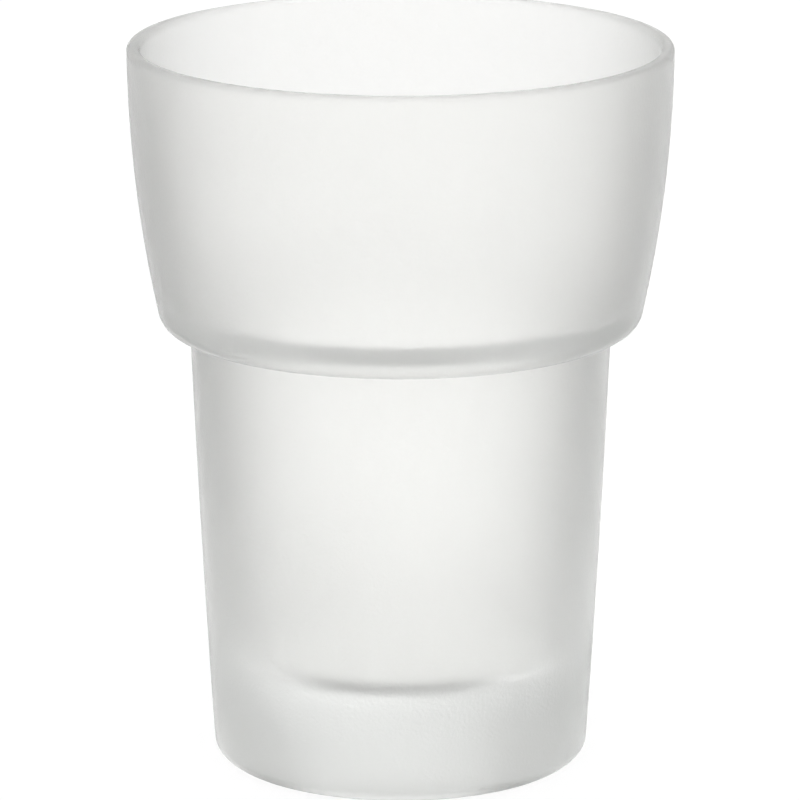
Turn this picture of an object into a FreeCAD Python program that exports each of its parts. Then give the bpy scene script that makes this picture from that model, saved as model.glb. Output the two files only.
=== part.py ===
import FreeCAD, Part
import enum
import math
import os
import Sketcher

# Bathroom tumbler, one piece of pressed glass with a satin, acid-etched skin. A bowed cup stands on a
# narrower tapering foot, and the step between them is the shoulder that hangs in a holder's ring. Inside,
# a short slope leads from the cup down to the narrower cavity in the foot.
# Millimetres, +Z up. The origin is the centre of the ring that the tumbler stands on.

doc = FreeCAD.newDocument("bathroom_tumbler")

# Driving dimensions. Each overhang, taper and wall is measured straight out from the axis.
SIZES = {
    "neck_diameter": 56.0,      # outside of the foot, just under the shoulder
    "shoulder_overhang": 3.7,   # from the neck out to the shoulder's corner
    "cup_flare": 4.3,           # from the shoulder's corner out to the rim
    "foot_taper": 3.0,          # from the foot's lower corner out to the neck
    "foot_height": 59.0,        # table to the shoulder's underside
    "cup_height": 38.0,         # shoulder's underside to the rim
    "foot_bow": 0.18,           # how far the foot's side swells past a straight line
    "rim_wall": 1.7,            # glass at the rim
    "cup_wall": 1.85,           # from the top of the slope inside out to the shoulder's corner
    "neck_wall": 3.2,           # from the foot of that slope out to the neck
    "foot_wall": 5.0,           # from the edge of the cavity's floor out to the foot's lower corner
    "slope_top": 4.5,           # shoulder's underside up to the top of the slope inside
    "slope_foot": 1.7,          # shoulder's underside up to the foot of that slope
    "floor_thickness": 13.6,    # table to the cavity's floor
    "base_ring": 7.0,           # width of the ring it stands on, before its corner is rounded
    "punt_depth": 0.8,          # hollow inside that ring
    "rim_land": 0.2,            # flat left between the two rounds of the rim
    "shoulder_round": 2.7,
    "shoulder_root_round": 0.6,
    "foot_round": 2.3,
    "slope_foot_round": 2.0,
    "slope_top_round": 1.5,
    "floor_round": 4.0,
}
sheet = doc.addObject("Spreadsheet::Sheet", "sizes")
for row, (alias, value) in enumerate(SIZES.items(), start=1):
    sheet.set(f"A{row}", alias)
    sheet.set(f"B{row}", str(value))
    sheet.setAlias(f"B{row}", alias)
doc.recompute()

body = doc.addObject("PartDesign::Body", "glass_tumbler")
body.Label = "glass_tumbler"
upright_plane = next(plane for plane in body.Origin.OriginFeatures if plane.Role == "XZ_Plane")

section = body.newObject("Sketcher::SketchObject", "glass_section")
section.AttachmentSupport = [(upright_plane, "")]
section.MapMode = "FlatFace"

# Corners of half the section before they are rounded, as distance from the axis and height.
neck = sheet.neck_diameter / 2
shoulder = neck + sheet.shoulder_overhang
rim = shoulder + sheet.cup_flare
foot = neck - sheet.foot_taper
top_level = sheet.foot_height + sheet.cup_height
CORNERS = {
    "origin": (0, 0),
    "floor_centre": (0, sheet.floor_thickness),
    "floor_edge": (foot - sheet.foot_wall, sheet.floor_thickness),
    "slope_foot": (neck - sheet.neck_wall, sheet.foot_height + sheet.slope_foot),
    "slope_top": (shoulder - sheet.cup_wall, sheet.foot_height + sheet.slope_top),
    "mouth": (rim - sheet.rim_wall, top_level),
    "rim": (rim, top_level),
    "shoulder": (shoulder, sheet.foot_height),
    "neck": (neck, sheet.foot_height),
    "foot": (foot, 0),
    "punt_edge": (foot - sheet.base_ring, 0),
    "punt_top": (0, sheet.punt_depth),
}


class PointOf(enum.IntEnum):
    """Which point of an edge a constraint holds."""
    START = 1
    END = 2
    CENTRE = 3


class Axis(enum.IntEnum):
    """The sketch's own two axes. The across axis starts at the origin."""
    ACROSS = -1
    UPRIGHT = -2


reached = {"origin": (Axis.ACROSS, PointOf.START)}


def point(corner):
    """A corner as a point of the sketch."""
    across, up = CORNERS[corner]
    return FreeCAD.Vector(across, up, 0)


def draw(geometry, start, end):
    """Adds one edge of the section and joins it to the edges that already reach its corners."""
    edge = section.addGeometry(geometry)
    for position, corner in ((PointOf.START, start), (PointOf.END, end)):
        if corner in reached:
            section.addConstraint(Sketcher.Constraint("Coincident", *reached[corner], edge, position))
        else:
            reached[corner] = (edge, position)
    return edge


def straight(start, end):
    """A straight edge of the section."""
    return draw(Part.LineSegment(point(start), point(end)), start, end)


def bowed(start, end, centre):
    """A round edge of the section, anticlockwise from start to end about centre."""
    arm = point(start) - centre
    turn = point(end) - centre
    circle = Part.Circle(centre, FreeCAD.Vector(0, 0, 1), arm.Length)
    return draw(Part.ArcOfCircle(circle, math.atan2(arm.y, arm.x), math.atan2(turn.y, turn.x)), start, end)


def centre_beside(low, high):
    """Centre, level with the high corner, of the arc from the low corner that ends upright at the high one."""
    out = CORNERS[high][0] - CORNERS[low][0]
    up = CORNERS[high][1] - CORNERS[low][1]
    return point(high) - FreeCAD.Vector((out ** 2 + up ** 2) / (2 * out), 0, 0)


def centre_of_bow(low, high, bow):
    """Centre of the arc that swells past the straight line between two corners by bow, away from the axis."""
    chord = point(high) - point(low)
    bow_radius = chord.Length ** 2 / (8 * bow) + bow / 2
    inward = FreeCAD.Vector(-chord.y, chord.x, 0).normalize()
    return (point(low) + point(high)) / 2 + inward * (bow_radius - bow)


def centre_of_dome(edge, top):
    """Centre, on the axis, of the shallow dome that rises from its edge to its top."""
    half_width, rise = CORNERS[edge][0], CORNERS[top][1]
    return point(top) - FreeCAD.Vector(0, (half_width ** 2 + rise ** 2) / (2 * rise), 0)


def dimension(kind, start, end, expression):
    """A distance between two corners, bound to the sheet."""
    first, second = point(start), point(end)
    distance = second.x - first.x if kind == "DistanceX" else second.y - first.y
    index = section.addConstraint(Sketcher.Constraint(kind, *reached[start], *reached[end], distance))
    section.setExpression(f"Constraints[{index}]", expression)


# The section, from the cavity's floor up the inside, over the rim, down the outside and under the base.
floor_line = straight("floor_centre", "floor_edge")
straight("floor_edge", "slope_foot")
straight("slope_foot", "slope_top")
cup_inside = bowed("slope_top", "mouth", centre_beside("slope_top", "mouth"))
rim_line = straight("mouth", "rim")
cup_outside = bowed("shoulder", "rim", centre_beside("shoulder", "rim"))
seat_line = straight("shoulder", "neck")
foot_side = bowed("foot", "neck", centre_of_bow("foot", "neck", sheet.foot_bow))
base_line = straight("foot", "punt_edge")
punt_dome = bowed("punt_edge", "punt_top", centre_of_dome("punt_edge", "punt_top"))
straight("punt_top", "floor_centre")

for flat_edge in (floor_line, rim_line, seat_line, base_line):
    section.addConstraint(Sketcher.Constraint("Horizontal", flat_edge))
section.addConstraint(Sketcher.Constraint("PointOnObject", *reached["foot"], Axis.ACROSS))
for on_axis in (reached["floor_centre"], reached["punt_top"], (punt_dome, PointOf.CENTRE)):
    section.addConstraint(Sketcher.Constraint("PointOnObject", *on_axis, Axis.UPRIGHT))
for upright_at_rim in (cup_inside, cup_outside):
    section.addConstraint(Sketcher.Constraint("PointOnObject", upright_at_rim, PointOf.CENTRE, rim_line))

dimension("DistanceX", "origin", "neck", "sizes.neck_diameter / 2")
dimension("DistanceX", "neck", "shoulder", "sizes.shoulder_overhang")
dimension("DistanceX", "shoulder", "rim", "sizes.cup_flare")
dimension("DistanceX", "foot", "neck", "sizes.foot_taper")
dimension("DistanceX", "mouth", "rim", "sizes.rim_wall")
dimension("DistanceX", "slope_top", "shoulder", "sizes.cup_wall")
dimension("DistanceX", "slope_foot", "neck", "sizes.neck_wall")
dimension("DistanceX", "floor_edge", "foot", "sizes.foot_wall")
dimension("DistanceX", "punt_edge", "foot", "sizes.base_ring")
dimension("DistanceY", "foot", "neck", "sizes.foot_height")
dimension("DistanceY", "shoulder", "rim", "sizes.cup_height")
dimension("DistanceY", "neck", "slope_top", "sizes.slope_top")
dimension("DistanceY", "neck", "slope_foot", "sizes.slope_foot")
dimension("DistanceY", "origin", "floor_centre", "sizes.floor_thickness")
dimension("DistanceY", "origin", "punt_top", "sizes.punt_depth")

foot_curve = section.Geometry[foot_side].Radius
foot_curve_index = section.addConstraint(Sketcher.Constraint("Radius", foot_side, foot_curve))
section.setExpression(
    f"Constraints[{foot_curve_index}]",
    "(sizes.foot_taper ^ 2 + sizes.foot_height ^ 2) / (8 * sizes.foot_bow) + sizes.foot_bow / 2",
)
doc.recompute()
if not section.FullyConstrained:
    raise RuntimeError("the section of the glass is not fully constrained")

turned_glass = body.newObject("PartDesign::Revolution", "turned_glass")
turned_glass.Profile = section
turned_glass.ReferenceAxis = (section, ["V_Axis"])
turned_glass.Angle = 360
doc.recompute()

# Rounds, each with the corners of the section that it softens. Two rounds that share an edge are kept
# within it.
SLOPE_WIDTH = "(sizes.shoulder_overhang + sizes.neck_wall - sizes.cup_wall)"
SHARED_EDGE = 0.45
ROUNDS = {
    "rim_rounding": (("mouth", "rim"), "(sizes.rim_wall - sizes.rim_land) / 2"),
    "shoulder_root_rounding": (("neck",), "sizes.shoulder_root_round"),
    "shoulder_rounding": (
        ("shoulder",),
        "min(sizes.shoulder_round; sizes.shoulder_overhang - sizes.shoulder_root_round)",
    ),
    "foot_rounding": (("foot",), "min(sizes.foot_round; sizes.base_ring)"),
    "slope_foot_rounding": (("slope_foot",), f"min(sizes.slope_foot_round; {SHARED_EDGE} * {SLOPE_WIDTH})"),
    "slope_top_rounding": (("slope_top",), f"min(sizes.slope_top_round; {SHARED_EDGE} * {SLOPE_WIDTH})"),
    "floor_rounding": (("floor_edge",), "sizes.floor_round"),
}
SAME_PLACE = 1e-4


def circle_at(shape, corner):
    """Name of the round edge that a corner of the section has turned."""
    across, up = CORNERS[corner]
    for number, edge in enumerate(shape.Edges, start=1):
        if edge.Degenerated or not isinstance(edge.Curve, Part.Circle):
            continue
        if abs(edge.Curve.Radius - across) < SAME_PLACE and abs(edge.Curve.Center.z - up) < SAME_PLACE:
            return f"Edge{number}"
    raise RuntimeError(f"no round edge at {corner}")


for name, (corners, expression) in ROUNDS.items():
    base = body.Tip
    rounding = body.newObject("PartDesign::Fillet", name)
    rounding.Base = (base, [circle_at(base.Shape, corner) for corner in corners])
    rounding.setExpression("Radius", expression)
    doc.recompute()

# Nothing is written unless every object is sound.
for item in doc.Objects:
    if {"Invalid", "Error"} & set(item.State):
        raise RuntimeError(f"{item.Label} did not compute: {item.State}")
if body.Shape.isNull() or not body.Shape.isValid() or len(body.Shape.Solids) != 1:
    raise RuntimeError("the tumbler is not one sound solid")

GLASS_DENSITY = 2.5e-6          # kilograms in a cubic millimetre
box = body.Shape.optimalBoundingBox(True, False)
print(f"{body.Label}: {box.XLength:.2f} x {box.YLength:.2f} x {box.ZLength:.2f} mm")
print(f"glass {body.Shape.Volume:.0f} cubic mm, about {body.Shape.Volume * GLASS_DENSITY:.3f} kg")

os.makedirs("parts", exist_ok=True)
body.Shape.exportStep(os.path.join("parts", f"{body.Label}.step"))
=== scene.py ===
import math

import bpy
import numpy as np
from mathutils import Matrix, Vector


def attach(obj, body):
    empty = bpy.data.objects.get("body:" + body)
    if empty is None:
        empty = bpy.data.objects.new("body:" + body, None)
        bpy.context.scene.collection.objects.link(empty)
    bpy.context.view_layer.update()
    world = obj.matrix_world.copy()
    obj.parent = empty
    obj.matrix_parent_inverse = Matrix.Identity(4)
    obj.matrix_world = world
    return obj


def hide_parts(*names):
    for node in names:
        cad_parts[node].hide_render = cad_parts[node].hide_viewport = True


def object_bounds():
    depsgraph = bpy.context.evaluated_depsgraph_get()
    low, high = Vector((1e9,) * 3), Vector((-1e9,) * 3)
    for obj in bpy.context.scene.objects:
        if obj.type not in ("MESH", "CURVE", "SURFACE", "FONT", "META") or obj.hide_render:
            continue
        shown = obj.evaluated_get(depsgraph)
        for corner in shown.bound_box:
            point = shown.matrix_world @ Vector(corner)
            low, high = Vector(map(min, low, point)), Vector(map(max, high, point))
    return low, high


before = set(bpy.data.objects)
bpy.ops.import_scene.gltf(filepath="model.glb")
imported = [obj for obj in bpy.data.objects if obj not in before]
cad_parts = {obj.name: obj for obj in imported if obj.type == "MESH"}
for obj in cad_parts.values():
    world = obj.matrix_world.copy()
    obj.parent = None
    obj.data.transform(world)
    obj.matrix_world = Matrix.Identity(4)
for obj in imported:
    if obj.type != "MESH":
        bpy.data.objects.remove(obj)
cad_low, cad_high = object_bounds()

# Glass tumbler, one pressing of colourless glass: a bowed cup on a narrower foot with a thick base.
# Its shoulder hangs in a holder's ring. The whole skin is etched with acid to an even satin.
# Sizes are in metres, from the axis and from the table.
RIM_RADIUS = (cad_high.x - cad_low.x) / 2
HEIGHT = cad_high.z - cad_low.z
SHOULDER_RADIUS = 0.0317
NECK_RADIUS = 0.0280
FOOT_RADIUS = 0.0250
SEAT_LEVEL = 0.0590
FOOT_BOW = 0.00018
RIM_WALL = 0.0017
CUP_WALL = 0.00185
NECK_WALL = 0.0032
FOOT_WALL = 0.0050
MOUTH_RADIUS = RIM_RADIUS - RIM_WALL
SLOPE_TOP_RADIUS = SHOULDER_RADIUS - CUP_WALL
SLOPE_FOOT_RADIUS = NECK_RADIUS - NECK_WALL
FLOOR_RADIUS = FOOT_RADIUS - FOOT_WALL
SLOPE_TOP_RISE = 0.0045
SLOPE_FOOT_RISE = 0.0017
SLOPE_TOP_LEVEL = SEAT_LEVEL + SLOPE_TOP_RISE
SLOPE_FOOT_LEVEL = SEAT_LEVEL + SLOPE_FOOT_RISE
FLOOR_LEVEL = 0.0136
BASE_RING = 0.0070
PUNT_RADIUS = FOOT_RADIUS - BASE_RING
PUNT_DEPTH = 0.0008
RIM_ROUND = 0.00075
SHOULDER_ROUND = 0.0027
SHOULDER_ROOT_ROUND = 0.0006
FOOT_ROUND = 0.0023
SLOPE_FOOT_ROUND = 0.0020
SLOPE_TOP_ROUND = 0.0015
FLOOR_ROUND = 0.0040
AROUND = 256
WALL_STEPS = 40
ROUND_STEPS = 12
FLAT_STEPS = 6
ROUND_SEARCH = np.linspace(-2, 5, 701)


def bowed_wall(low, high, bow):
    """Distance from the axis at each height of a wall between two (radius, height) points: the straight
    line between them, pushed outwards as a shallow arc that stands out by bow at mid height."""
    (low_radius, low_level), (high_radius, high_level) = low, high

    def radius_at(level):
        share = (level - low_level) / (high_level - low_level)
        return low_radius + (high_radius - low_radius) * share + 4 * bow * share * (1 - share)

    return radius_at


def cup_wall(low, high):
    """Distance from the axis at each height of a wall that rises from low and ends upright at high: an arc
    whose centre is level with high, so radius = high radius - R + sqrt(R squared - drop squared)."""
    (low_radius, low_level), (high_radius, high_level) = low, high
    out, up = high_radius - low_radius, high_level - low_level
    arc = (out ** 2 + up ** 2) / (2 * out)

    def radius_at(level):
        return high_radius - arc + np.sqrt(arc ** 2 - (high_level - level) ** 2)

    return radius_at


def corner_round(wall, corner, slope, round_radius, flat_side, wall_side):
    """Arc between a wall and a flat that runs through corner and rises by slope for each step outwards. Its
    centre is one radius from the flat and lies on the wall's curve moved sideways by one radius, along the
    wall's own normal. flat_side is +1 where the flat runs outwards from the wall, wall_side is +1 where the
    wall rises from the flat. ROUND_SEARCH, in radii from the corner, is where the centre is looked for. Gives
    points from the flat to the wall."""
    levels = corner[1] + wall_side * ROUND_SEARCH * round_radius
    lean = np.gradient(wall(levels), levels)
    normal = flat_side * np.stack([np.ones_like(lean), -lean], 1) / np.sqrt(1 + lean ** 2)[:, None]
    moved = np.stack([wall(levels), levels], 1) + round_radius * normal
    away = wall_side * np.array([-slope, 1]) / math.hypot(slope, 1)
    distance = (moved - np.asarray(corner)) @ away
    centre, reach = [
        [np.interp(round_radius, distance, track[:, axis]) for axis in (0, 1)] for track in (moved, -normal)
    ]
    start, end = math.atan2(-away[1], -away[0]), math.atan2(reach[1], reach[0])
    turn = (end - start + math.pi) % (2 * math.pi) - math.pi
    angles = start + turn * np.linspace(0, 1, ROUND_STEPS)
    return np.array(centre) + round_radius * np.stack([np.cos(angles), np.sin(angles)], 1)


def wall_between(wall, start, end):
    """The wall's own points between two rounds, without the rounds' end points."""
    levels = np.linspace(start[1], end[1], WALL_STEPS + 2)[1:-1]
    return np.stack([wall(levels), levels], 1)


def flat_between(start, end):
    """Points along a flat between two rounds, without the end points."""
    share = np.linspace(0, 1, FLAT_STEPS + 2)[1:-1, None]
    return np.asarray(start) * (1 - share) + np.asarray(end) * share


foot_side = bowed_wall((FOOT_RADIUS, 0), (NECK_RADIUS, SEAT_LEVEL), FOOT_BOW)
cup_side = cup_wall((SHOULDER_RADIUS, SEAT_LEVEL), (RIM_RADIUS, HEIGHT))
cup_inside = cup_wall((SLOPE_TOP_RADIUS, SLOPE_TOP_LEVEL), (MOUTH_RADIUS, HEIGHT))
cavity_side = bowed_wall((FLOOR_RADIUS, FLOOR_LEVEL), (SLOPE_FOOT_RADIUS, SLOPE_FOOT_LEVEL), 0)


def tumbler_outline():
    """Half the section, from the middle of the hollow under the base, out and up the outside, over the rim
    and down the inside to the middle of the cavity's floor. The hollow is a parabola of its depth."""
    hollow_radius = np.linspace(0, PUNT_RADIUS, WALL_STEPS)
    hollow = np.stack([hollow_radius, PUNT_DEPTH * (1 - (hollow_radius / PUNT_RADIUS) ** 2)], 1)
    base, seat, top, floor = (0, 0), (0, SEAT_LEVEL), (0, HEIGHT), (0, FLOOR_LEVEL)
    slope_top_corner = (SLOPE_TOP_RADIUS, SLOPE_TOP_LEVEL)
    slope_foot_corner = (SLOPE_FOOT_RADIUS, SLOPE_FOOT_LEVEL)
    slope = (SLOPE_TOP_LEVEL - SLOPE_FOOT_LEVEL) / (SLOPE_TOP_RADIUS - SLOPE_FOOT_RADIUS)
    foot = corner_round(foot_side, base, 0, FOOT_ROUND, -1, 1)
    neck = corner_round(foot_side, seat, 0, SHOULDER_ROOT_ROUND, 1, -1)[::-1]
    shoulder = corner_round(cup_side, seat, 0, SHOULDER_ROUND, -1, 1)
    rim = corner_round(cup_side, top, 0, RIM_ROUND, -1, -1)[::-1]
    mouth = corner_round(cup_inside, top, 0, RIM_ROUND, 1, -1)
    slope_top = corner_round(cup_inside, slope_top_corner, slope, SLOPE_TOP_ROUND, -1, 1)[::-1]
    slope_foot = corner_round(cavity_side, slope_foot_corner, slope, SLOPE_FOOT_ROUND, 1, -1)
    floor_edge = corner_round(cavity_side, floor, 0, FLOOR_ROUND, -1, 1)[::-1]
    floor_centre = np.array([[0, FLOOR_LEVEL]])
    return np.concatenate([
        hollow, flat_between(hollow[-1], foot[0]), foot, wall_between(foot_side, foot[-1], neck[0]),
        neck, flat_between(neck[-1], shoulder[0]), shoulder, wall_between(cup_side, shoulder[-1], rim[0]),
        rim, mouth, wall_between(cup_inside, mouth[-1], slope_top[0]),
        slope_top, flat_between(slope_top[-1], slope_foot[0]), slope_foot,
        wall_between(cavity_side, slope_foot[-1], floor_edge[0]), floor_edge,
        flat_between(floor_edge[-1], floor_centre[0]), floor_centre,
    ])


def turned_mesh(name, outline):
    """Turns an outline that starts and ends on the axis into a closed mesh: x = radius cos(angle),
    y = radius sin(angle), z = level, with one vertex for each end."""
    rings = outline[1:-1]
    angle = np.linspace(0, 2 * math.pi, AROUND, endpoint=False)
    radius, level = rings[:, :1], np.broadcast_to(rings[:, 1:], (len(rings), AROUND))
    grid = np.stack([radius * np.cos(angle), radius * np.sin(angle), level], 2).reshape(-1, 3)
    ends = np.array([[0, 0, outline[0, 1]], [0, 0, outline[-1, 1]]])
    vertices = np.concatenate([grid, ends])
    first_end, last_end = len(grid), len(grid) + 1
    here = np.arange(AROUND)
    beside = (here + 1) % AROUND
    row = np.arange(len(rings) - 1)[:, None] * AROUND
    quads = np.stack([row + here, row + beside, row + AROUND + beside, row + AROUND + here], 2).reshape(-1, 4)
    last_row = (len(rings) - 1) * AROUND
    first_fan = np.stack([np.full(AROUND, first_end), beside, here], 1)
    last_fan = np.stack([last_row + here, last_row + beside, np.full(AROUND, last_end)], 1)
    mesh = bpy.data.meshes.new(name)
    mesh.from_pydata(vertices.tolist(), [], quads.tolist() + first_fan.tolist() + last_fan.tolist())
    mesh.polygons.foreach_set("use_smooth", np.ones(len(mesh.polygons), bool))
    mesh.update()
    return mesh


tumbler = bpy.data.objects.new("tumbler", turned_mesh("tumbler", tumbler_outline()))
bpy.context.scene.collection.objects.link(tumbler)

# The etch: acid leaves an even satin with a fine grain. It bites a little deeper in soft cloudy patches, and
# along the rim it is coarser.
ETCH_ROUGHNESS = 0.4
ETCH_UNEVENNESS = 0.06
CLOUD_SCALE = 55
CLOUD_DETAIL = 2
GRAIN_SCALE = 2200
GRAIN_DETAIL = 4
GRAIN_DEPTH = 0.000045
RIM_ROUGHNESS = 0.65
RIM_ETCH_DEPTH = 0.0015
RIM_ETCH_FULL_DEPTH = 0.0003
CLEAR_SHARE = 0.92
GLASS_IOR = 1.5
GLASS_COLOUR = (1, 1, 0.988, 1)
GLASS_TINT = (0.35, 0.52, 0.40, 1)
GLASS_DENSITY = 1.5
UP = (0, 0, 1)


def noise_node(tree, coordinates, scale, detail):
    """Soft noise from 0 to 1 at so many blotches to the metre, with finer octaves on top."""
    node = tree.nodes.new("ShaderNodeTexNoise")
    node.inputs["Scale"].default_value = scale
    node.inputs["Detail"].default_value = detail
    tree.links.new(coordinates, node.inputs["Vector"])
    return node.outputs["Fac"]


def vector_node(tree, operation, vector, other=None):
    """Adds a Vector Math node on a socket and, where one is given, a fixed vector."""
    node = tree.nodes.new("ShaderNodeVectorMath")
    node.operation = operation
    tree.links.new(vector, node.inputs[0])
    if other is not None:
        node.inputs[1].default_value = other
    return node.outputs["Value" if operation in ("LENGTH", "DOT_PRODUCT") else "Vector"]


def eased_node(tree, value, start, full):
    """0 before start, 1 past full, eased between them. full may lie above or below start."""
    node = tree.nodes.new("ShaderNodeMapRange")
    node.interpolation_type = "SMOOTHSTEP"
    node.inputs["From Min"].default_value = start
    node.inputs["From Max"].default_value = full
    tree.links.new(value, node.inputs["Value"])
    return node.outputs["Result"]


def mixed_node(tree, share, first, second):
    """first where share is 0, second where it is 1. Each is a socket or a number."""
    node = tree.nodes.new("ShaderNodeMix")
    tree.links.new(share, node.inputs["Factor"])
    for name, value in (("A", first), ("B", second)):
        if isinstance(value, (int, float)):
            node.inputs[name].default_value = value
        else:
            tree.links.new(value, node.inputs[name])
    return node.outputs["Result"]


satin = bpy.data.materials.new("etched_satin_glass")
satin.use_nodes = True
tree = satin.node_tree
glass = tree.nodes["Principled BSDF"]
glass.inputs["Base Color"].default_value = GLASS_COLOUR
glass.inputs["Transmission Weight"].default_value = CLEAR_SHARE
glass.inputs["IOR"].default_value = GLASS_IOR
skin = tree.nodes.new("ShaderNodeTexCoord").outputs["Object"]
bite = tree.nodes.new("ShaderNodeMapRange")
bite.inputs["To Min"].default_value = ETCH_ROUGHNESS - ETCH_UNEVENNESS
bite.inputs["To Max"].default_value = ETCH_ROUGHNESS + ETCH_UNEVENNESS
tree.links.new(noise_node(tree, skin, CLOUD_SCALE, CLOUD_DETAIL), bite.inputs["Value"])
height = vector_node(tree, "DOT_PRODUCT", skin, UP)
on_rim = eased_node(tree, height, HEIGHT - RIM_ETCH_DEPTH, HEIGHT - RIM_ETCH_FULL_DEPTH)
tree.links.new(mixed_node(tree, on_rim, bite.outputs["Result"], RIM_ROUGHNESS), glass.inputs["Roughness"])
grain = tree.nodes.new("ShaderNodeBump")
grain.inputs["Distance"].default_value = GRAIN_DEPTH
tree.links.new(noise_node(tree, skin, GRAIN_SCALE, GRAIN_DETAIL), grain.inputs["Height"])
tree.links.new(grain.outputs["Normal"], glass.inputs["Normal"])
tint = tree.nodes.new("ShaderNodeVolumeAbsorption")
tint.inputs["Color"].default_value = GLASS_TINT
tint.inputs["Density"].default_value = GLASS_DENSITY
tree.links.new(tint.outputs["Volume"], tree.nodes["Material Output"].inputs["Volume"])
tumbler.data.materials.append(satin)
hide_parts("glass_tumbler")
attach(tumbler, "root")

# Floor: a sheet under the tumbler, plain white to the camera. Its glow, which the glass sees, is painted with
# light and shade: a bright lane behind the tumbler between two sectors painted dark as if screens stood there,
# which spread near the base, painted light under the base, and a painted shadow round the base with a painted
# streak of light through it. Stops are (metres from the axis or degrees from the lane, level).
FLOOR_HALF = 6.0
FLOOR_GAP = 0.0001
FLOOR_COLOUR = (0.15, 0.15, 0.15, 1)
FLOOR_ROUGHNESS = 0.9
WHITE = (1, 1, 1, 1)
CAMERA_GLOW = 0.88
FLOOR_GLOW = 1.01
# Painted light: the glow is painted brighter under the base and again a little way out, and dimmer far off.
FLOOR_PAINTED_LIGHT = (
    (0, 1.25), (0.012, 1.3), (0.025, 1.3), (0.031, 1), (0.060, 1.06), (0.112, 1.06), (0.168, 1), (0.36, 0.87),
)
LANE_TURN = math.radians(3)
# Painted shade: two sectors of the glow, to either side of the lane, are painted dim as if dark screens stood
# there. They begin some way out from the base and, close to it, lie further to the sides.
PAINTED_SCREEN_SHADE = ((0, 1), (35, 1), (53, 0.1), (71, 0.1), (81, 1), (180, 1))
PAINTED_SHADE_START = 0.034
PAINTED_SHADE_FULL = 0.068
PAINTED_SHADE_SPREAD = 22
SPREAD_START = 0.150
SPREAD_FULL = 0.060
# Painted shadow behind the base, from its edge out to about 60 mm, with painted light just inside its edge.
BASE_SHADOW = (
    (0, 1), (0.012, 1), (0.018, 1.13), (0.025, 1.13), (0.030, 0.15), (0.053, 0.15), (0.068, 1), (0.1, 1),
)
BASE_SHADOW_START = 66
BASE_SHADOW_FULL = 37
# Painted streak of light straight behind the base: within a few degrees of the lane the painted shadow is
# narrow and the floor beyond it is painted brighter.
PAINTED_LIGHT_STREAK = (
    (0, 1), (0.012, 1), (0.018, 1.13), (0.025, 1.13), (0.030, 0.12), (0.034, 0.12), (0.042, 1.3), (0.1, 1),
)
PAINTED_STREAK_START = 8
PAINTED_STREAK_FULL = 3
# Painted shadow under the front edge of the base, on the camera's side.
FRONT_SHADOW = ((0, 1), (0.009, 1), (0.014, 0.14), (0.025, 0.14), (0.031, 1), (0.1, 1))
FRONT_SHADOW_START = 114
FRONT_SHADOW_FULL = 140
LEVEL = (1, 1, 0)


def math_node(tree, operation, *values):
    """Adds a Math node whose inputs are sockets or numbers, and gives its result."""
    node = tree.nodes.new("ShaderNodeMath")
    node.operation = operation
    for socket, value in zip(node.inputs, values):
        if isinstance(value, (int, float)):
            socket.default_value = value
        else:
            tree.links.new(value, socket)
    return node.outputs[0]


def levels_node(tree, value, stops):
    """Light level for a value from 0 up to the last stop, eased between (value, level) stops."""
    reach = stops[-1][0]
    node = tree.nodes.new("ShaderNodeValToRGB")
    ramp = node.color_ramp
    ramp.interpolation = "EASE"
    for place, _ in stops[2:]:
        ramp.elements.new(place / reach)
    for element, (place, level) in zip(ramp.elements, stops):
        element.position = place / reach
        element.color = (level, level, level, 1)
    tree.links.new(math_node(tree, "DIVIDE", value, reach), node.inputs["Fac"])
    return node.outputs["Color"]


def side_node(tree, level_vector):
    """How far a level direction turns from the lane, which is straight behind the tumbler but for LANE_TURN:
    the angle whose cosine is the direction's share along the lane, in degrees."""
    lane = (math.sin(LANE_TURN), math.cos(LANE_TURN), 0)
    along = vector_node(tree, "DOT_PRODUCT", vector_node(tree, "NORMALIZE", level_vector), lane)
    return math_node(tree, "DEGREES", math_node(tree, "ARCCOSINE", along))


floor_mesh = bpy.data.meshes.new("floor")
corners = [(x * FLOOR_HALF, y * FLOOR_HALF, 0) for x, y in ((-1, -1), (1, -1), (1, 1), (-1, 1))]
floor_mesh.from_pydata(corners, [], [(0, 1, 2, 3)])
floor = bpy.data.objects.new("floor", floor_mesh)
floor.location.z = -FLOOR_GAP
bpy.context.scene.collection.objects.link(floor)
paper = bpy.data.materials.new("white_floor")
paper.use_nodes = True
tree = paper.node_tree
sheet = tree.nodes["Principled BSDF"]
sheet.inputs["Base Color"].default_value = FLOOR_COLOUR
sheet.inputs["Roughness"].default_value = FLOOR_ROUGHNESS
sheet.inputs["Specular IOR Level"].default_value = 0
sheet.inputs["Emission Color"].default_value = WHITE
place = vector_node(tree, "MULTIPLY", tree.nodes.new("ShaderNodeTexCoord").outputs["Object"], LEVEL)
distance = vector_node(tree, "LENGTH", place)
side = side_node(tree, place)
painted_screen_shade = eased_node(tree, distance, PAINTED_SHADE_START, PAINTED_SHADE_FULL)
spread = mixed_node(tree, eased_node(tree, distance, SPREAD_START, SPREAD_FULL), 0, PAINTED_SHADE_SPREAD)
screen_shade_levels = levels_node(tree, math_node(tree, "SUBTRACT", side, spread), PAINTED_SCREEN_SHADE)
painted_screen_shade = mixed_node(tree, painted_screen_shade, 1, screen_shade_levels)
painted_streak_share = eased_node(tree, side, PAINTED_STREAK_START, PAINTED_STREAK_FULL)
shaded = levels_node(tree, distance, BASE_SHADOW)
shaded = mixed_node(tree, painted_streak_share, shaded, levels_node(tree, distance, PAINTED_LIGHT_STREAK))
shaded = mixed_node(tree, eased_node(tree, side, BASE_SHADOW_START, BASE_SHADOW_FULL), 1, shaded)
front_painted_shade = eased_node(tree, side, FRONT_SHADOW_START, FRONT_SHADOW_FULL)
front_painted_shade = mixed_node(tree, front_painted_shade, 1, levels_node(tree, distance, FRONT_SHADOW))
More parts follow.
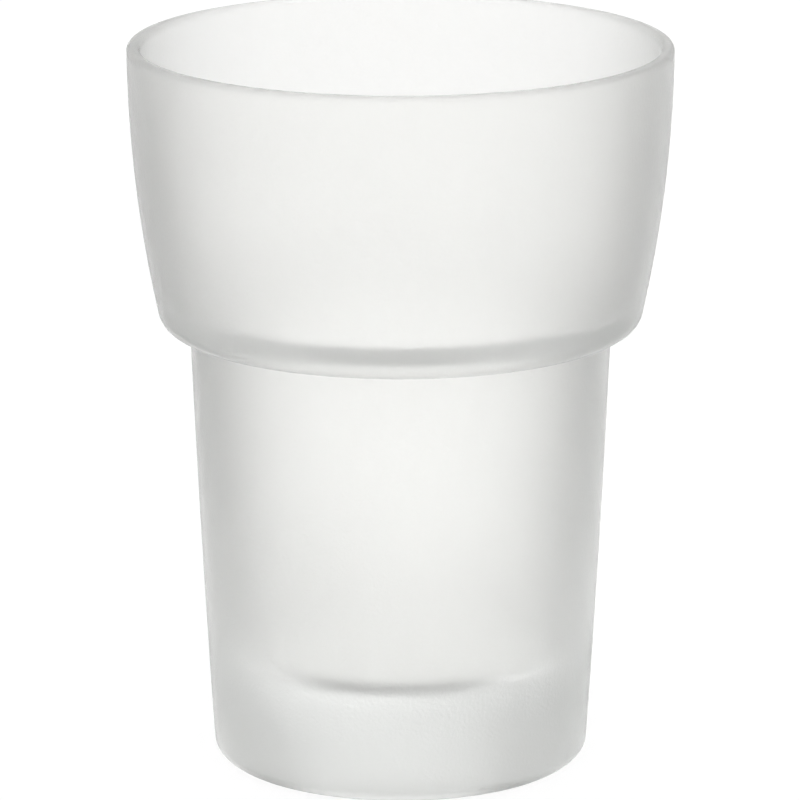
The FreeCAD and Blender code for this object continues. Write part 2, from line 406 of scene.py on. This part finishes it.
# Painted light and shade multiplied together: the glow the glass sees. The camera sees a plain glow instead.
painted_glow = math_node(tree, "MULTIPLY", levels_node(tree, distance, FLOOR_PAINTED_LIGHT), FLOOR_GLOW)
for level in (painted_screen_shade, shaded, front_painted_shade):
    painted_glow = math_node(tree, "MULTIPLY", painted_glow, level)
path = tree.nodes.new("ShaderNodeLightPath")
floor_glow = mixed_node(tree, path.outputs["Is Camera Ray"], painted_glow, CAMERA_GLOW)
tree.links.new(floor_glow, sheet.inputs["Emission Strength"])
paper.cycles.emission_sampling = "NONE"
floor_mesh.materials.append(paper)

# Studio: a bright tent round the floor, plain white to the camera. The glass also sees the two dark screens
# standing low behind the tumbler. One wide soft lamp hangs above.
TENT_GLOW = 1.06
TENT_SCREENS = ((0, 1), (18, 1), (24, 0.3), (54, 0.3), (75, 1), (180, 1))
SCREEN_TOP = math.sin(math.radians(26))
SCREEN_GONE = math.sin(math.radians(48))
LAMP_WATTS = 0.3
LAMP_WIDTH = 1.2
LAMP_PLACE = Vector((-0.2, 0.1, 1.6))
world = bpy.data.worlds.new("studio")
bpy.context.scene.world = world
world.use_nodes = True
tree = world.node_tree
direction = tree.nodes.new("ShaderNodeTexCoord").outputs["Generated"]
side = side_node(tree, vector_node(tree, "MULTIPLY", direction, LEVEL))
above = eased_node(tree, vector_node(tree, "DOT_PRODUCT", direction, UP), SCREEN_TOP, SCREEN_GONE)
tent = mixed_node(tree, above, levels_node(tree, side, TENT_SCREENS), 1)
tent = math_node(tree, "MULTIPLY", tent, TENT_GLOW)
path = tree.nodes.new("ShaderNodeLightPath")
tent_glow = mixed_node(tree, path.outputs["Is Camera Ray"], tent, 1)
tree.links.new(tent_glow, tree.nodes["Background"].inputs["Strength"])
tree.nodes["Background"].inputs["Color"].default_value = WHITE
lamp_data = bpy.data.lights.new("overhead", "AREA")
lamp_data.shape = "DISK"
lamp_data.size = LAMP_WIDTH
lamp_data.energy = LAMP_WATTS
lamp = bpy.data.objects.new("overhead", lamp_data)
lamp.location = LAMP_PLACE
lamp.rotation_euler = (Vector((0, 0, HEIGHT / 2)) - LAMP_PLACE).to_track_quat("-Z", "Y").to_euler()
bpy.context.scene.collection.objects.link(lamp)

# Camera: a long lens a little above the tumbler, at the photograph's angle. The tumbler fills the square frame
# from rim to table.
CAMERA_DISTANCE = 0.7588
CAMERA_RISE = math.radians(14.55)
LENS = 255.75
SENSOR_WIDTH = 36
NEAREST = 0.01
AIM = Vector((-0.00007, 0, 0.04851))
camera_data = bpy.data.cameras.new("camera")
camera_data.lens = LENS
camera_data.sensor_width = SENSOR_WIDTH
camera_data.clip_start = NEAREST
camera = bpy.data.objects.new("camera", camera_data)
camera.location = AIM + CAMERA_DISTANCE * Vector((0, -math.cos(CAMERA_RISE), math.sin(CAMERA_RISE)))
camera.rotation_euler = (AIM - camera.location).to_track_quat("-Z", "Y").to_euler()
bpy.context.scene.collection.objects.link(camera)
bpy.context.scene.camera = camera
bpy.context.scene.view_settings.view_transform = "Standard"
